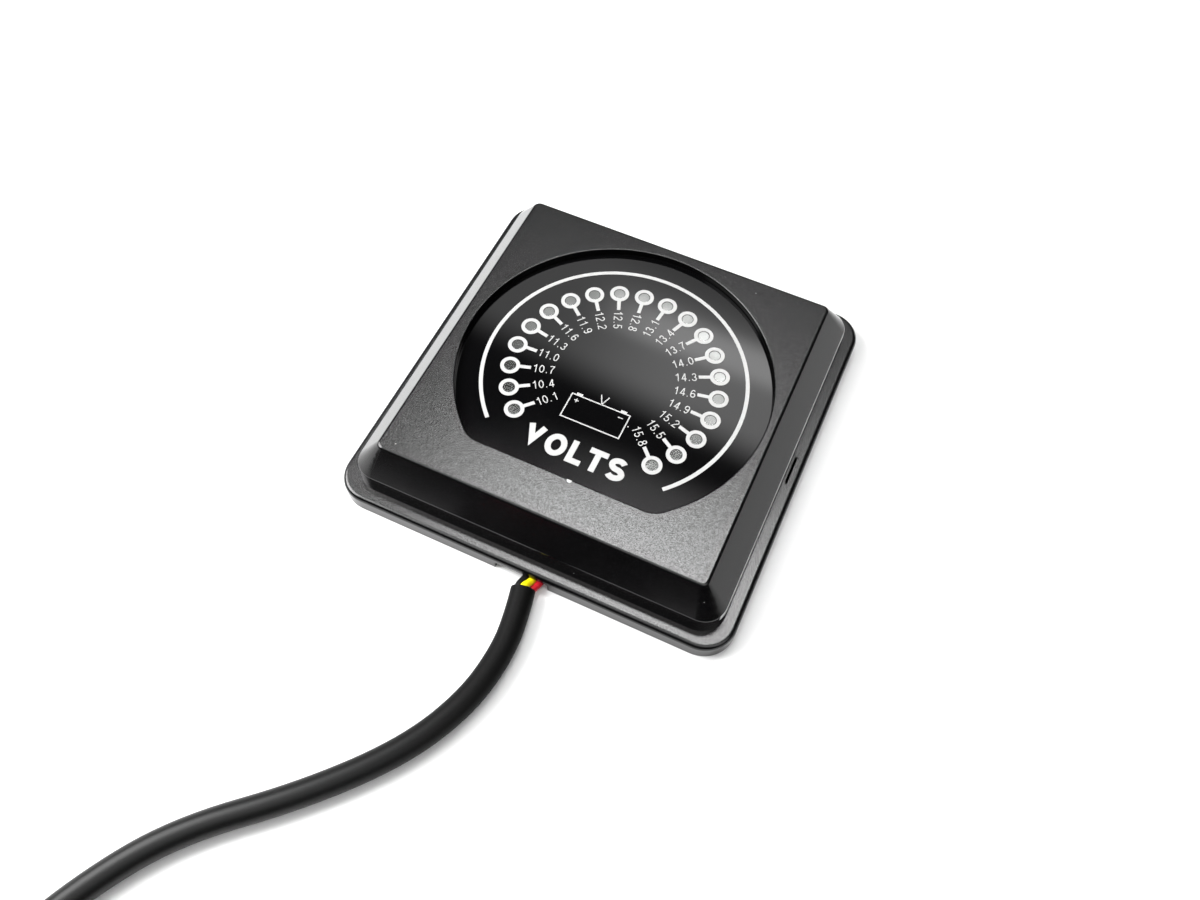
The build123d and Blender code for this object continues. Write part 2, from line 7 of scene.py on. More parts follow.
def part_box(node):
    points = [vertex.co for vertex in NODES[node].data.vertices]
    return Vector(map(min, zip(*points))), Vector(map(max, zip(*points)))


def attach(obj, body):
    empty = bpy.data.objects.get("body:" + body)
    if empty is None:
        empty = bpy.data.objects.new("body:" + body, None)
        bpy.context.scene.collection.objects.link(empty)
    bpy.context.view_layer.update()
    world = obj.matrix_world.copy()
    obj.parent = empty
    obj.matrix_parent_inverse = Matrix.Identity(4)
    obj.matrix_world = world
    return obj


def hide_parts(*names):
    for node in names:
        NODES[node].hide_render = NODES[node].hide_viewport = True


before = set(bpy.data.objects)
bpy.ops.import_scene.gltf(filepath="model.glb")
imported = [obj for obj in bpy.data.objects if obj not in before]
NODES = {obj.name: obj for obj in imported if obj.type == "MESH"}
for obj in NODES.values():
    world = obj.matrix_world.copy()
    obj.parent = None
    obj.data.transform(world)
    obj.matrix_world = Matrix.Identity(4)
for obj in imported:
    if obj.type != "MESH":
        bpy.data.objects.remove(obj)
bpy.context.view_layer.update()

MM = 0.001

# ---------------------------------------------------------------- camera
CAMERA_AZIMUTH = 23.237
CAMERA_ELEVATION = 60.392
CAMERA_ROLL = 1.804
CAMERA_DISTANCE = 227.57 * MM
CAMERA_TARGET = Vector((2.165 * MM, -10.54 * MM, 0.0))
CAMERA_LENS = 30.643

# ---------------------------------------------------------------- case finish
# Each pair runs from none to full.
RECESS_WALL_Z = (12.8 * MM, 13.0 * MM)
# A pale spot on the window's front edge: its centre and radius.
PALE_EDGE_SPOT = (2.9 * MM, -27.4 * MM, 15.0 * MM)
PALE_SPOT_RADIUS = 0.55 * MM
# Where the painted highlight lies on the right ridge.
RIDGE_HIGHLIGHT_X = (41.05 * MM, 41.2 * MM)
RIDGE_HIGHLIGHT_Z = (6.9 * MM, 7.2 * MM)

# ---------------------------------------------------------------- room, in metres
FLOOR_X = (-0.6, 0.45)
FLOOR_Y = (-0.3, 0.6)
FLOOR_Z = -0.05 * MM
FLOOR_TONE = 0.84
ROOM_GLOW = 0.03
LOWEST_CEILING = 0.05
CEILING_SLANT = 0.09
BACKDROP_WHITE = 1.4

# Soft boxes on the ceiling: strength, sides across, sides back, and whether the front and back sides slant.
# Each pair is the dark and the bright end of one side, in ceiling heights from overhead.
CEILING_BOXES = (
    (1.45, ((-0.80, -0.55), (0.26, 0.04)), ((0.5545, 0.6155), (0.88, 0.72)), True),
    (1.9, ((-0.37, -0.17), (0.22, 0.02)), ((0.5545, 0.6155), (0.765, 0.69)), True),
    (3.0, ((-0.33, -0.23), (0.22, 0.02)), ((0.668, 0.698), (0.748, 0.715)), False),
    (1.3, ((-0.36, -0.14), (0.35, 0.10)), ((0.10, 0.30), (0.545, 0.49)), False),
    (38.0, ((-0.40, -0.31), (0.13, 0.03)), ((0.31, 0.36), (0.465, 0.448)), False),
    (2.6, ((-2.0, -1.2), (2.0, 1.2)), ((-0.85, -0.55), (0.16, 0.04)), False),
)

# ---------------------------------------------------------------- lead, with its route in mm
JACKET_DIAMETER = 5.2 * MM
JACKET_MIDDLE_Z = JACKET_DIAMETER / 2
JACKET_START = (2.3, -48.3)
ROUTE = [
    JACKET_START,
    (3.6, -53.6),
    (4.6, -62.0),
    (3.0, -73.5),
    (-3.2, -86.6),
    (-16.0, -101.4),
    (-33.0, -116.2),
    (-42.2, -130.5),
    (-48.8, -147.0),
    (-53.6, -162.0),
]
COIL_CENTRE = (-20.0 * MM, -178.0 * MM)
COIL_OUTER = 35.0 * MM
COIL_INNER = 22.0 * MM
COIL_TOP_RADIUS = 28.5 * MM
COIL_ENTRY_DEGREES = 170.0
COIL_LAYER_TURNS = 2.5
COIL_POINTS_PER_TURN = 24
CLIMB_POINTS = 3
LAST_LAYER_TURNS = 2.4
TOP_RUN_START_DEGREES = 10.0
TOP_RUN_END_DEGREES = 80.0

# ---------------------------------------------------------------- dial print, in mm from the dial's centre
PANEL_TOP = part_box("dial_panel")[1].z
INK_THICKNESS = 0.03 * MM
DIAL_CENTRE = Vector((0.4 * MM, 0.25 * MM, 0.0))
LED_COUNT = 20
LED_STEP = math.radians(14.3)
LED_RADIUS = 22.9
RING_OUTER = 2.17
RING_INNER = 1.34
STEM_WIDTH = 0.8
STEM_END_RADIUS = 18.3
ARC_RADIUS = 28.86
ARC_WIDTH = 0.84
ARC_HALF_ANGLE = math.radians(135.8)
ARC_STEPS = 180
FIRST_VOLTS = 10.1
VOLTS_STEP = 0.3
STROKE_LIFT = 0.004
FIGURE_HEIGHT = 1.97
FIGURE_STROKE = 0.108
FIGURE_MIDDLE_RADIUS = 15.5
FIGURE_GAP = 0.16
WORD_MIDDLE = (0.13, -20.5)
WORD_HEIGHT = 5.4
WORD_STROKE = 0.24
WORD_GAP = 0.13
BATTERY_X = (-6.47, 7.08)
BATTERY_Y = (-13.62, -7.52)
BATTERY_LINE = 0.27
TERMINAL_INSET = 1.6
TERMINAL_HALF = 0.7
TERMINAL_LIFT = 0.38
TERMINAL_LINE = 0.5
PLUS_INSET = 1.55
PLUS_HALF = 0.5
MINUS_INSET = 1.7
MINUS_HALF = 0.58
SIGN_DROP = 1.3
SIGN_LINE = 0.2
VOLTS_MARK_X = (-0.64, 0.42, 1.24)
VOLTS_MARK_RISE = (2.3, 0.05)
VOLTS_MARK_LINE = 0.24
DASH_REACH = (0.5, 0.78)
DASH_DROP = 2.6
DASH_LINE = 0.26


# ---------------------------------------------------------------- camera and pieces
def place_piece(piece):
    """Links a new piece and lets it ride on the case."""
    bpy.context.scene.collection.objects.link(piece)
    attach(piece, "root")
    return piece


def add_camera():
    azimuth = math.radians(CAMERA_AZIMUTH)
    elevation = math.radians(CAMERA_ELEVATION)
    roll = math.radians(CAMERA_ROLL)
    back = Vector((
        math.sin(azimuth) * math.cos(elevation),
        -math.cos(azimuth) * math.cos(elevation),
        math.sin(elevation),
    ))
    level_right = (-back).cross(Vector((0, 0, 1))).normalized()
    level_up = level_right.cross(-back)
    right = level_right * math.cos(roll) + level_up * math.sin(roll)
    up = level_up * math.cos(roll) - level_right * math.sin(roll)
    data = bpy.data.cameras.new("camera")
    data.lens = CAMERA_LENS
    data.clip_start = 0.01
    data.clip_end = 50.0
    camera = bpy.data.objects.new("camera", data)
    axes = Matrix((right, up, back)).transposed().to_4x4()
    camera.matrix_world = Matrix.Translation(CAMERA_TARGET + back * CAMERA_DISTANCE) @ axes
    bpy.context.scene.collection.objects.link(camera)
    bpy.context.scene.camera = camera


# ---------------------------------------------------------------- lead
def on_coil(radius, degrees, z):
    """A control point of the coil, set out a little because an order 3 spline runs inside its points."""
    step = 2 * math.pi / COIL_POINTS_PER_TURN
    reach = radius / (0.75 + 0.25 * math.cos(step))
    angle = math.radians(degrees)
    x, y = COIL_CENTRE
    return Vector((x + reach * math.cos(angle), y + reach * math.sin(angle), z))


def coil_points():
    """Layer by layer: inwards on the table, outwards over that, inwards again, then a last run on top."""
    step = 360.0 / COIL_POINTS_PER_TURN
    degrees = COIL_ENTRY_DEGREES
    points = []
    layers = (
        (COIL_OUTER, COIL_INNER, COIL_LAYER_TURNS),
        (COIL_INNER, COIL_OUTER, COIL_LAYER_TURNS),
        (COIL_OUTER, COIL_INNER, LAST_LAYER_TURNS),
    )
    for number, (start, end, turns) in enumerate(layers):
        z = JACKET_MIDDLE_Z + number * JACKET_DIAMETER
        count = round(turns * COIL_POINTS_PER_TURN)
        for index in range(count + 1):
            climb = min(1.0, index / CLIMB_POINTS) if number else 1.0
            here = z - (1.0 - climb) * JACKET_DIAMETER
            points.append(on_coil(start + (end - start) * index / count, degrees, here))
            degrees += step
    top_z = JACKET_MIDDLE_Z + len(layers) * JACKET_DIAMETER
    run_end = TOP_RUN_END_DEGREES + 360.0 * math.ceil((degrees - TOP_RUN_END_DEGREES) / 360.0)
    run_start = run_end - (TOP_RUN_END_DEGREES - TOP_RUN_START_DEGREES)
    climb_count = max(1, round((run_start - degrees) / step))
    for index in range(climb_count):
        share = index / climb_count
        radius = COIL_INNER + (COIL_TOP_RADIUS - COIL_INNER) * share
        points.append(on_coil(radius, degrees, top_z - JACKET_DIAMETER * (1.0 - share)))
        degrees += (run_start - degrees) / (climb_count - index)
    run_count = round((run_end - run_start) / step)
    for index in range(run_count + 1):
        along = run_start + (run_end - run_start) * index / run_count
        points.append(on_coil(COIL_TOP_RADIUS, along, top_z))
    return points


def add_lead():
    points = [Vector((x * MM, y * MM, JACKET_MIDDLE_Z)) for x, y in ROUTE] + coil_points()
    curve = bpy.data.curves.new("lead_jacket", "CURVE")
    curve.dimensions = "3D"
    curve.bevel_depth = 1.0
    curve.bevel_resolution = 6
    curve.resolution_u = 8
    curve.use_fill_caps = True
    spline = curve.splines.new("NURBS")
    spline.points.add(len(points) - 1)
    for control, point in zip(spline.points, points):
        control.co = (*point, 1.0)
        control.radius = JACKET_DIAMETER / 2
    spline.order_u = 3
    spline.use_endpoint_u = True
    lead = place_piece(bpy.data.objects.new("lead_jacket", curve))
    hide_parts("cable_jacket", "cable_coil", "cable_end")
    on_the_lead = ["coil_tie", "tinned_ends"]
    for colour in ("black", "yellow", "red"):
        on_the_lead += ["wire_" + colour, "tail_" + colour]
    return lead


# ---------------------------------------------------------------- node helpers
def grey(value):
    return (value, value, value)


def node_tree(owner):
    owner.use_nodes = True
    owner.node_tree.nodes.clear()
    return owner.node_tree.nodes, owner.node_tree.links


def math_node(nodes, links, operation, *values):
    node = nodes.new("ShaderNodeMath")
    node.operation = operation
    for socket, value in zip(node.inputs, values):
        if hasattr(value, "is_output"):
            links.new(value, socket)
        else:
            socket.default_value = value
    return node.outputs[0]


def smooth_step(nodes, links, value, start, end):
    """0 at start and 1 at end, whichever is larger, with a soft run between."""
    node = nodes.new("ShaderNodeMapRange")
    node.interpolation_type = "SMOOTHSTEP"
    links.new(value, node.inputs["Value"])
    node.inputs["From Min"].default_value = start
    node.inputs["From Max"].default_value = end
    return node.outputs[0]


def axes(nodes, links, vector):
    split = nodes.new("ShaderNodeSeparateXYZ")
    links.new(vector, split.inputs[0])
    return split.outputs


# ---------------------------------------------------------------- floor and light
def add_floor():
    """A pale table that ends outside the picture, so that the front slope mirrors the dark room."""
    mesh = bpy.data.meshes.new("floor")
    (left, right), (front, back) = FLOOR_X, FLOOR_Y
    corners = [(x, y, FLOOR_Z) for x, y in ((left, front), (right, front), (right, back), (left, back))]
    mesh.from_pydata(corners, [], [(0, 1, 2, 3)])
    floor = bpy.data.objects.new("floor", mesh)
    bpy.context.scene.collection.objects.link(floor)
    finish = Finish("pale_floor", Roughness=0.7, Specular_IOR_Level=0.2)
    finish.shader.inputs["Base Color"].default_value = (*grey(FLOOR_TONE), 1.0)
    mesh.materials.append(finish.material)


def add_world():
    """A dark room with soft boxes on its ceiling; the camera alone sees a white backdrop."""
    world = bpy.data.worlds.new("studio")
    bpy.context.scene.world = world
    nodes, links = node_tree(world)
    direction = axes(nodes, links, nodes.new("ShaderNodeTexCoord").outputs["Generated"])
    height = math_node(nodes, links, "MAXIMUM", direction["Z"], LOWEST_CEILING)
    across = math_node(nodes, links, "DIVIDE", direction["X"], height)
    back = math_node(nodes, links, "DIVIDE", direction["Y"], height)
    slanted_back = math_node(nodes, links, "MULTIPLY_ADD", across, CEILING_SLANT, back)
    total = ROOM_GLOW
    for strength, across_sides, back_sides, slants in CEILING_BOXES:
        glow = strength
        sides = [(across, *side) for side in across_sides]
        sides += [(slanted_back if slants else back, *side) for side in back_sides]
        for side in sides:
            glow = math_node(nodes, links, "MULTIPLY", smooth_step(nodes, links, *side), glow)
        total = math_node(nodes, links, "ADD", glow, total)
    light_path = nodes.new("ShaderNodeLightPath")
    backdrop = math_node(nodes, links, "MULTIPLY", light_path.outputs["Is Camera Ray"], BACKDROP_WHITE)
    seen = math_node(nodes, links, "MAXIMUM", total, backdrop)
    background = nodes.new("ShaderNodeBackground")
    links.new(seen, background.inputs["Strength"])
    output = nodes.new("ShaderNodeOutputWorld")
    links.new(background.outputs[0], output.inputs["Surface"])


def add_soft_box(name, azimuth, elevation, distance, size, radiance):
    """An area light that faces the object; azimuth runs anticlockwise from +X."""
    data = bpy.data.lights.new(name, "AREA")
    data.shape = "RECTANGLE"
    data.size, data.size_y = size
    data.energy = radiance * math.pi * size[0] * size[1]
    light = bpy.data.objects.new(name, data)
    a, e = math.radians(azimuth), math.radians(elevation)
    direction = Vector((math.cos(a) * math.cos(e), math.sin(a) * math.cos(e), math.sin(e)))
    light.location = direction * distance
    light.rotation_euler = direction.to_track_quat("Z", "Y").to_euler()
    bpy.context.scene.collection.objects.link(light)


# ---------------------------------------------------------------- materials
class Finish:
    """A node material round one Principled shader, with the few nodes that the finishes here share."""

    def __init__(self, name, **sockets):
        self.material = bpy.data.materials.new(name)
        self.nodes, self.links = node_tree(self.material)
        self.shader = self.nodes.new("ShaderNodeBsdfPrincipled")
        output = self.nodes.new("ShaderNodeOutputMaterial")
        self.links.new(self.shader.outputs[0], output.inputs["Surface"])
        for socket, value in sockets.items():
            self.shader.inputs[socket.replace("_", " ")].default_value = value
        self.place = self.nodes.new("ShaderNodeTexCoord").outputs["Object"]

    def grain(self, size, detail=2.0, roughness=0.5):
        """Noise whose blotches are about size across, from 0 to 1."""
        node = self.nodes.new("ShaderNodeTexNoise")
        self.links.new(self.place, node.inputs["Vector"])
        node.inputs["Scale"].default_value = 1.0 / size
        node.inputs["Detail"].default_value = detail
        node.inputs["Roughness"].default_value = roughness
        return node.outputs["Fac"]

    def specks(self, spacing, radius):
        """Small round specks, 1 inside and 0 outside, about spacing apart."""
        node = self.nodes.new("ShaderNodeTexVoronoi")
        self.links.new(self.place, node.inputs["Vector"])
        node.inputs["Scale"].default_value = 1.0 / spacing
        reach = radius / spacing
        return self.step(node.outputs["Distance"], reach * 1.3, reach * 0.7)

    def spot(self, centre, radius):
        """One round mark, 1 inside and 0 outside."""
        node = self.nodes.new("ShaderNodeVectorMath")
        node.operation = "DISTANCE"
        self.links.new(self.place, node.inputs[0])
        node.inputs[1].default_value = centre
        return self.step(node.outputs["Value"], radius * 1.2, radius * 0.8)

    def axes(self, vector):
        return axes(self.nodes, self.links, vector)

    def step(self, value, start, end):
        return smooth_step(self.nodes, self.links, value, start, end)

    def math(self, operation, *values):
        return math_node(self.nodes, self.links, operation, *values)

    def between(self, share, first, second):
        """The first value where share is 0, the second where it is 1."""
        rest = self.math("MULTIPLY", self.math("SUBTRACT", 1.0, share), first)
        return self.math("ADD", rest, self.math("MULTIPLY", share, second))

    def spread(self, value, low, high):
        node = self.nodes.new("ShaderNodeMapRange")
        self.links.new(value, node.inputs["Value"])
        node.inputs["To Min"].default_value = low
        node.inputs["To Max"].default_value = high
        return node.outputs[0]

    def blend(self, share, first, second):
        node = self.nodes.new("ShaderNodeMix")
        node.data_type = "RGBA"
        self.links.new(share, node.inputs["Factor"])
        for socket, value in ((node.inputs["A"], first), (node.inputs["B"], second)):
            colour_socket = next(s for s in node.inputs if s.name == socket.name and s.type == "RGBA")
            if hasattr(value, "is_output"):
                self.links.new(value, colour_socket)
            else:
                colour_socket.default_value = (*value, 1.0)
        return next(s for s in node.outputs if s.type == "RGBA")

    def bump(self, height, depth):
        node = self.nodes.new("ShaderNodeBump")
        node.inputs["Distance"].default_value = depth
        self.links.new(height, node.inputs["Height"])
        self.drive("Normal", node.outputs[0])

    def drive(self, socket, value):
        self.links.new(value, self.shader.inputs[socket])


def case_finish():
    """Black ABS: spark-eroded grain where it faces up, satin slopes, dead black in the window's wall, a
    painted highlight along the right ridge and a pale spot on the window's front edge.
    """
    finish = Finish("case_black")
    facing = finish.axes(finish.nodes.new("ShaderNodeNewGeometry").outputs["Normal"])
    where = finish.axes(finish.place)
    level = finish.step(facing["Z"], 0.62, 0.92)
    steep = finish.step(facing["Z"], 0.55, 0.48)
    recess_wall = finish.math("MULTIPLY", steep, finish.step(where["Z"], *RECESS_WALL_Z))
    fine = finish.grain(0.38 * MM, roughness=0.6)
    satin = finish.spread(finish.grain(9 * MM), 0.11, 0.15)
    finish.drive("Roughness", finish.between(level, satin, finish.spread(fine, 0.21, 0.27)))
    mirror = finish.between(level, 0.36, finish.spread(fine, 0.16, 0.84))
    finish.drive("Specular IOR Level", finish.between(recess_wall, mirror, 0.04))
    finish.bump(finish.math("MULTIPLY", fine, level), 0.02 * MM)

    tone = finish.blend(fine, (0.0012, 0.0012, 0.0013), (0.0028, 0.0028, 0.003))
    # A painted highlight: a pale line along the right ridge, where its edge would catch the light, broken up
    # by a coarse grain.
    on_ridge = finish.math("MULTIPLY", finish.step(where["X"], *RIDGE_HIGHLIGHT_X), steep)
    on_ridge = finish.math("MULTIPLY", on_ridge, finish.step(where["Z"], *RIDGE_HIGHLIGHT_Z))
    painted_ridge_highlight = finish.math("MULTIPLY", on_ridge, finish.spread(finish.grain(4 * MM), 0.5, 1.0))
    specks = finish.specks(spacing=7.5 * MM, radius=0.07 * MM)
    # Dust specks and the pale spot on the window's front edge turn the tone pale grey.
    marks = finish.math("MAXIMUM", specks, finish.spot(PALE_EDGE_SPOT, PALE_SPOT_RADIUS))
    tone = finish.blend(marks, tone, grey(0.45))
    finish.drive("Base Color", finish.blend(painted_ridge_highlight, tone, grey(0.9)))
    return finish.material


def dial_finish():
    """High-gloss black sheet with a little haze and dust."""
    finish = Finish("dial_black")
    haze = finish.grain(14 * MM, detail=3.0)
    finish.drive("Roughness", finish.spread(haze, 0.02, 0.06))
    dust = finish.specks(spacing=6.0 * MM, radius=0.04 * MM)
    finish.drive("Base Color", finish.blend(dust, (0.0015, 0.0015, 0.0017), grey(0.2)))
    return finish.material


def led_finish():
    """Flat LED tops that mirror the room faintly, each a little different."""
    finish = Finish("led_epoxy", Metallic=1.0)
    each = finish.grain(4.0 * MM, detail=0.0)
    fine = finish.grain(0.5 * MM)
    finish.drive("Base Color", finish.blend(each, (0.17, 0.175, 0.17), (0.31, 0.315, 0.31)))
    finish.drive("Roughness", finish.spread(fine, 0.08, 0.14))
    finish.bump(fine, 0.0015 * MM)
    return finish.material


def ink_finish():
    """White screen print, slightly mottled."""
    finish = Finish("dial_print", Roughness=0.45)
    mottle = finish.grain(0.6 * MM, detail=3.0)
    finish.drive("Base Color", finish.blend(mottle, (0.38, 0.38, 0.375), (0.46, 0.46, 0.455)))
    finish.bump(finish.grain(0.15 * MM), 0.004 * MM)
    return finish.material


def plain_finish(name, dark, light, roughness, grain_size, bump_depth, **sockets):
    """A moulded or drawn material: two close tones in a fine grain, with a little relief; sizes in mm."""
    finish = Finish(name, **sockets)
    fine = finish.grain(grain_size * MM, detail=3.0, roughness=0.55)
    finish.drive("Base Color", finish.blend(fine, dark, light))
    finish.drive("Roughness", finish.spread(fine, roughness * 0.85, roughness * 1.15))
    finish.bump(fine, bump_depth * MM)
    return finish.material


def jacket_finish():
    """Black PVC: dull where it was cut and stripped beside the case, satin further out."""
    finish = Finish("jacket_black")
    out = finish.step(finish.axes(finish.place)["Y"], -62 * MM, -118 * MM)
    fine = finish.grain(0.5 * MM, detail=3.0, roughness=0.55)
    finish.drive("Base Color", finish.blend(fine, grey(0.002), grey(0.005)))
    roughness = finish.math("ADD", finish.spread(out, 0.46, 0.36), finish.spread(fine, 0.0, 0.08))
    finish.drive("Roughness", roughness)
    finish.drive("Specular IOR Level", finish.spread(out, 0.07, 0.24))
    finish.bump(fine, 0.015 * MM)
    return finish.material


def assign(material, *names):
    for name in names:
        mesh = NODES[name].data
        mesh.materials.clear()
        mesh.materials.append(material)


# Name, two tones, roughness, grain size and relief in mm, other sockets, and the nodes that wear it.
PLAIN_FINISHES = (
    ("seal_black", grey(0.0008), grey(0.002), 0.85, 0.4, 0.02, {"Specular_IOR_Level": 0.06}, ["panel_seal"]),
    ("holder_black", grey(0.02), grey(0.03), 0.5, 0.3, 0.01, {}, ["led_holder"]),
    ("board_green", (0.01, 0.12, 0.05), (0.02, 0.18, 0.08), 0.3, 1.2, 0.01, {}, ["circuit_board"]),
    ("screw_steel", grey(0.5), grey(0.65), 0.3, 0.2, 0.004, {"Metallic": 1.0}, ["board_screws"]),
    ("chip_black", grey(0.02), grey(0.04), 0.6, 0.2, 0.008, {},
     ["microcontroller", "led_driver", "voltage_regulator", "protection_diode"]),
    ("capacitor_can", grey(0.6), grey(0.75), 0.25, 0.5, 0.003, {"Metallic": 1.0}, ["input_capacitor"]),
    ("resistor_black", grey(0.02), grey(0.035), 0.4, 0.3, 0.005, {}, ["resistors"]),
    ("ceramic_tan", (0.4, 0.28, 0.17), (0.5, 0.36, 0.23), 0.4, 0.3, 0.005, {}, ["ceramic_capacitors"]),
    ("solder", grey(0.65), grey(0.8), 0.25, 0.3, 0.006, {"Metallic": 1.0}, ["solder_joints", "tinned_ends"]),
    ("wire_black", grey(0.002), grey(0.005), 0.45, 0.4, 0.006, {"Specular_IOR_Level": 0.25},
     ["wire_black", "tail_black"]),
    ("wire_yellow", (0.9, 0.75, 0.0), (1.0, 0.85, 0.01), 0.35, 0.4, 0.006, {},
     ["wire_yellow", "tail_yellow"]),
    ("wire_red", (0.33, 0.003, 0.009), (0.46, 0.007, 0.02), 0.35, 0.4, 0.006, {},
     ["wire_red", "tail_red"]),
    ("tie_nylon", grey(0.02), grey(0.035), 0.4, 0.5, 0.01, {}, ["coil_tie"]),
)


def dress_nodes():
    assign(case_finish(), "base_tray", "top_cover")
    assign(dial_finish(), "dial_panel")
    assign(led_finish(), *("led_%02d" % (index + 1) for index in range(LED_COUNT)))
    for name, dark, light, roughness, grain_size, relief, sockets, wearers in PLAIN_FINISHES:
        assign(plain_finish(name, dark, light, roughness, grain_size, relief, **sockets), *wearers)


# ---------------------------------------------------------------- stroke lettering
def bow(centre_x, centre_y, reach_x, reach_y, start, end):
    """Points along part of an ellipse, from start to end degrees."""
    steps = max(2, round(abs(end - start) / 15))
    points = []
    for index in range(steps + 1):
        angle = math.radians(start + (end - start) * index / steps)
        points.append((centre_x + reach_x * math.cos(angle), centre_y + reach_y * math.sin(angle)))
    return points


def half_turned(strokes, width):
    """The same strokes upside down, as a 6 makes a 9."""
    return [[(width - x, 1.0 - y) for x, y in points] for points in strokes]


def lettering(stroke):
    """Middle lines of plain upright figures and letters, one cap height tall: name to (width, strokes)."""
    wide = 0.56
    low, high = stroke / 2, 1.0 - stroke / 2
    left, right, middle = stroke / 2, wide - stroke / 2, wide / 2
    reach = middle - left
    one_flag = [(0.10, 0.75), (0.22, 0.77), (0.31, 0.85), (0.34, 0.98)]
    two = bow(middle, 0.71, reach, high - 0.71, 170, -30) + [(0.20, 0.33), (left, low), (right, low)]
    three = [bow(0.26, 0.73, 0.19, high - 0.73, 165, -90), bow(0.26, 0.28, reach, 0.28 - low, 90, -165)]
    five = [(0.49, high), (0.14, high), (0.09, 0.49)] + bow(0.27, 0.31, reach, 0.31 - low, 130, -160)
    eight = [bow(middle, 0.74, 0.18, high - 0.74, 0, 360), bow(middle, 0.28, reach, 0.28 - low, 0, 360)]
    ess = bow(0.36, 0.69, 0.25, high - 0.69, 30, 270) + bow(0.36, 0.31, 0.27, 0.31 - low, 90, -150)
    six = [
        bow(middle, 0.5, reach, high - 0.5, 40, 180) + [(left, 0.30)],
        bow(middle, 0.30, reach, 0.30 - low, 0, 360),
    ]
    return {
        "0": (wide, [bow(middle, 0.5, reach, high - 0.5, 90, 450)]),
        "1": (wide, [one_flag, [(0.36, 1.0), (0.36, 0.0)]]),
        "2": (wide, [two]),
        "3": (wide, three),
        "4": (wide, [[(0.40, 0.0), (0.40, 1.0)], [(0.36, high), (left, 0.26), (wide, 0.26)]]),
        "5": (wide, [five]),
        "6": (wide, six),
        "7": (wide, [[(0.04, high), (0.50, high), (0.32, 0.60), (0.23, 0.30), (0.20, 0.0)]]),
        "8": (wide, eight),
        "9": (wide, half_turned(six, wide)),
        ".": (0.26, [[(0.13, 0.0), (0.13, stroke * 1.1)]]),
        "V": (0.80, [[(0.12, 1.0), (0.40, 0.31), (0.68, 1.0)]]),
        "O": (0.86, [bow(0.43, 0.5, 0.43 - stroke / 2, high - 0.5, 90, 450)]),
        "L": (0.62, [[(stroke / 2, 1.0), (stroke / 2, low), (0.62, low)]]),
        "T": (0.76, [[(0.0, high), (0.76, high)], [(0.38, high), (0.38, 0.0)]]),
        "S": (0.72, [ess]),
    }


def ribbon(shape, points, width, placement):
    """A flat stroke of even width along points, mitred where it bends; a closed loop if its ends meet."""
    line = [Vector(point) for point in points]
    line = [line[0]] + [b for a, b in zip(line, line[1:]) if (b - a).length > 1e-6]
    closed = (line[0] - line[-1]).length < 1e-6
    if closed:
        line.pop()
    count = len(line)
    rim = []
    for index, point in enumerate(line):
        into = point - line[index - 1] if closed or index else line[1] - line[0]
        out = line[(index + 1) % count] - point if closed or index + 1 < count else into
        into, out = into.normalized(), out.normalized()
        across = Vector((-into.y - out.y, into.x + out.x)).normalized()
        square = Vector((-into.y, into.x))
        reach = width / 2 / max(across.dot(square), 0.4)
        pair = []
        for side in (-1, 1):
            corner = point + across * reach * side
            pair.append(shape.verts.new(placement @ Vector((corner.x, corner.y, 0.0))))
        rim.append(pair)
    if closed:
        rim.append(rim[0])
    for (low, high), (next_low, next_high) in zip(rim, rim[1:]):
        shape.faces.new([low, next_low, next_high, high])


def lifted(number):
    """Strokes that cross lie one over the other, as thin as ink."""
    return Matrix.Translation((0.0, 0.0, number * STROKE_LIFT))


def write(shape, text, height, stroke, gap, placement):
    """Stroke lettering centred on placement; height is in mm, and stroke and gap are shares of it."""
    letters = lettering(stroke)
    total = sum(letters[letter][0] for letter in text) + gap * (len(text) - 1)
    scale = Matrix.Scale(height, 4)
    x = -total / 2
    for letter in text:
        width, strokes = letters[letter]
        for number, points in enumerate(strokes):
            line = [(x + px, py - 0.5) for px, py in points]
            ribbon(shape, line, stroke, placement @ lifted(number) @ scale)
        x += width + gap


# ---------------------------------------------------------------- dial print
def led_direction(index):
    angle = math.pi / 2 + ((LED_COUNT - 1) / 2 - index) * LED_STEP
    return Vector((math.cos(angle), math.sin(angle), 0.0))


def ink_piece(name, draw, material):
    """A flat figure drawn in mm round the dial's centre, raised to an ink film on the dial."""
    shape = bmesh.new()
    draw(shape)
    grown = bmesh.ops.extrude_face_region(shape, geom=shape.faces[:])
    top = [item for item in grown["geom"] if isinstance(item, bmesh.types.BMVert)]
    bmesh.ops.translate(shape, verts=top, vec=(0, 0, INK_THICKNESS / MM))
    placement = Matrix.Translation(DIAL_CENTRE + Vector((0, 0, PANEL_TOP))) @ Matrix.Scale(MM, 4)
    bmesh.ops.transform(shape, matrix=placement, verts=shape.verts[:])
    bmesh.ops.recalc_face_normals(shape, faces=shape.faces[:])
    mesh = bpy.data.meshes.new(name)
    shape.to_mesh(mesh)
    shape.free()
    mesh.materials.append(material)
    return place_piece(bpy.data.objects.new(name, mesh))


def draw_arc(shape):
    start = 90 - math.degrees(ARC_HALF_ANGLE)
    points = []
    for index in range(ARC_STEPS + 1):
        angle = math.radians(start) + 2 * ARC_HALF_ANGLE * index / ARC_STEPS
        points.append((ARC_RADIUS * math.cos(angle), ARC_RADIUS * math.sin(angle)))
    ribbon(shape, points, ARC_WIDTH, lifted(0))


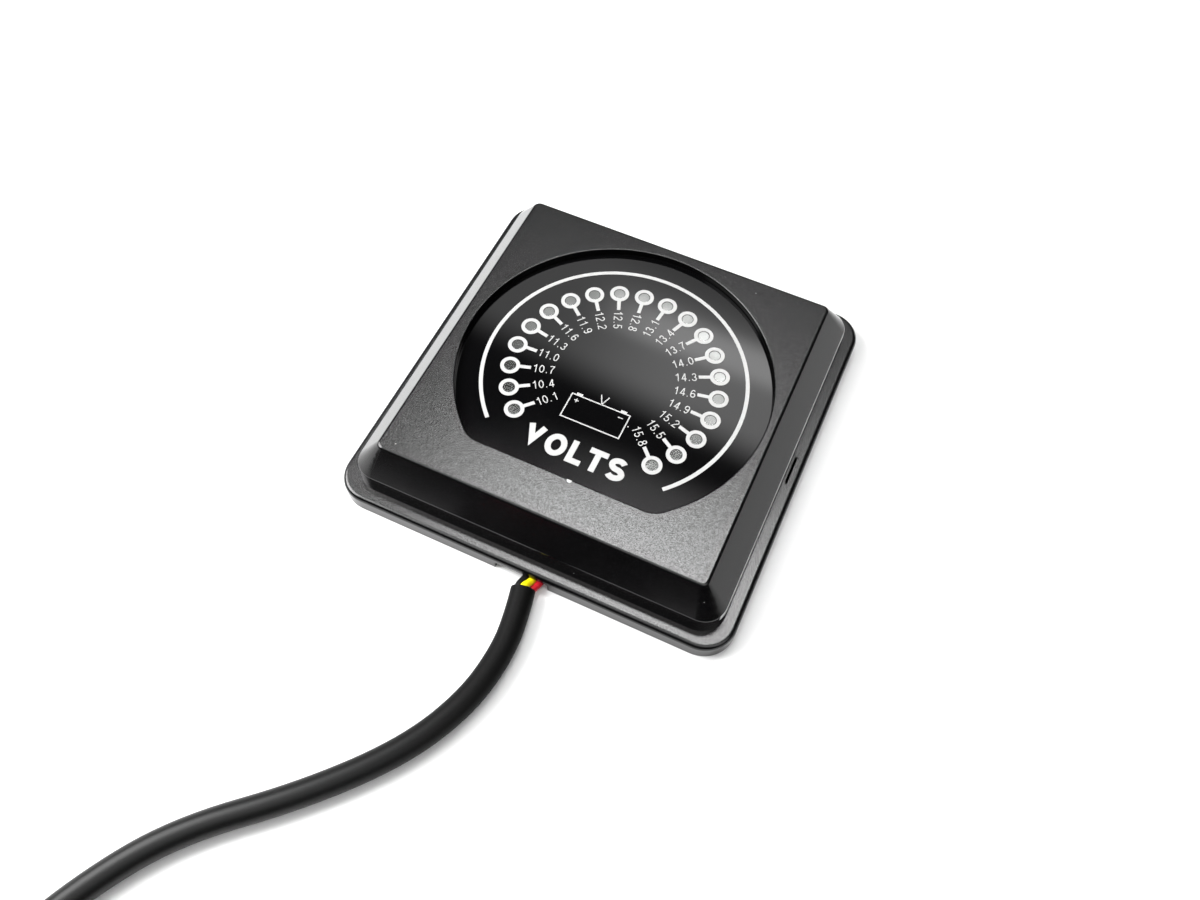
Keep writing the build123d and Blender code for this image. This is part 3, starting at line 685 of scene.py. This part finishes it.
def draw_rings(shape):
    """Twenty rings, each with a stem towards the dial's centre."""
    half_stem = math.asin(STEM_WIDTH / 2 / RING_OUTER)
    stem_steps = 4
    free_steps = 44
    angles = [half_stem * (2 * k / stem_steps - 1) for k in range(stem_steps)]
    angles += [half_stem + (2 * math.pi - 2 * half_stem) * k / free_steps for k in range(free_steps)]
    for index in range(LED_COUNT):
        outward = led_direction(index)
        inward = -outward
        side = Vector((-inward.y, inward.x, 0.0))
        centre = outward * LED_RADIUS
        inner, outer = [], []
        for angle in angles:
            direction = inward * math.cos(angle) + side * math.sin(angle)
            inner.append(shape.verts.new(centre + direction * RING_INNER))
            outer.append(shape.verts.new(centre + direction * RING_OUTER))
        count = len(angles)
        for k in range(count):
            after = (k + 1) % count
            shape.faces.new([inner[k], outer[k], outer[after], inner[after]])
        tip = outward * STEM_END_RADIUS
        ends = [shape.verts.new(tip + side * STEM_WIDTH / 2), shape.verts.new(tip - side * STEM_WIDTH / 2)]
        shape.faces.new(outer[:stem_steps + 1] + ends)


def draw_figures(shape):
    """The left half of the scale reads towards the centre, the right half away from it."""
    for index in range(LED_COUNT):
        outward = led_direction(index)
        reading = -outward if index < LED_COUNT / 2 else outward
        turn = Matrix.Rotation(math.atan2(reading.y, reading.x), 4, "Z")
        text = "%.1f" % (FIRST_VOLTS + VOLTS_STEP * index)
        placement = Matrix.Translation(outward * FIGURE_MIDDLE_RADIUS) @ turn
        write(shape, text, FIGURE_HEIGHT, FIGURE_STROKE, FIGURE_GAP, placement)


def draw_battery(shape):
    """The outline, its two terminals and their signs, and the mark for volts that stands on it."""
    (left, right), (bottom, top) = BATTERY_X, BATTERY_Y
    here, over = lifted(0), lifted(1)
    outline = [(left, bottom), (right, bottom), (right, top), (left, top), (left, bottom)]
    ribbon(shape, outline, BATTERY_LINE, here)
    raised = top + TERMINAL_LIFT
    for inset in (TERMINAL_INSET, right - left - TERMINAL_INSET):
        terminal = [(left + inset - TERMINAL_HALF, raised), (left + inset + TERMINAL_HALF, raised)]
        ribbon(shape, terminal, TERMINAL_LINE, over)
    plus_x, minus_x, sign_y = left + PLUS_INSET, right - MINUS_INSET, top - SIGN_DROP
    ribbon(shape, [(plus_x - PLUS_HALF, sign_y), (plus_x + PLUS_HALF, sign_y)], SIGN_LINE, here)
    ribbon(shape, [(plus_x, sign_y - PLUS_HALF), (plus_x, sign_y + PLUS_HALF)], SIGN_LINE, over)
    ribbon(shape, [(minus_x - MINUS_HALF, sign_y), (minus_x + MINUS_HALF, sign_y)], SIGN_LINE, here)
    arm, foot = (top + rise for rise in VOLTS_MARK_RISE)
    ribbon(shape, list(zip(VOLTS_MARK_X, (arm, foot, arm))), VOLTS_MARK_LINE, here)
    dash_y = top - DASH_DROP
    ribbon(shape, [(right + reach, dash_y) for reach in DASH_REACH], DASH_LINE, here)


def draw_word(shape):
    placement = Matrix.Translation((*WORD_MIDDLE, 0.0))
    write(shape, "VOLTS", WORD_HEIGHT, WORD_STROKE, WORD_GAP, placement)


def add_dial_print():
    ink = ink_finish()
    ink_piece("dial_arc", draw_arc, ink)
    ink_piece("dial_led_rings", draw_rings, ink)
    ink_piece("dial_figures", draw_figures, ink)
    ink_piece("dial_battery_outline", draw_battery, ink)
    ink_piece("dial_word", draw_word, ink)


# ---------------------------------------------------------------- everything
bpy.context.scene.view_settings.view_transform = "Standard"
add_camera()
lead = add_lead()
add_floor()
add_world()
add_soft_box("key", azimuth=196.0, elevation=42.0, distance=0.40, size=(0.25, 0.25), radiance=14.0)
dress_nodes()
lead.data.materials.append(jacket_finish())
add_dial_print()
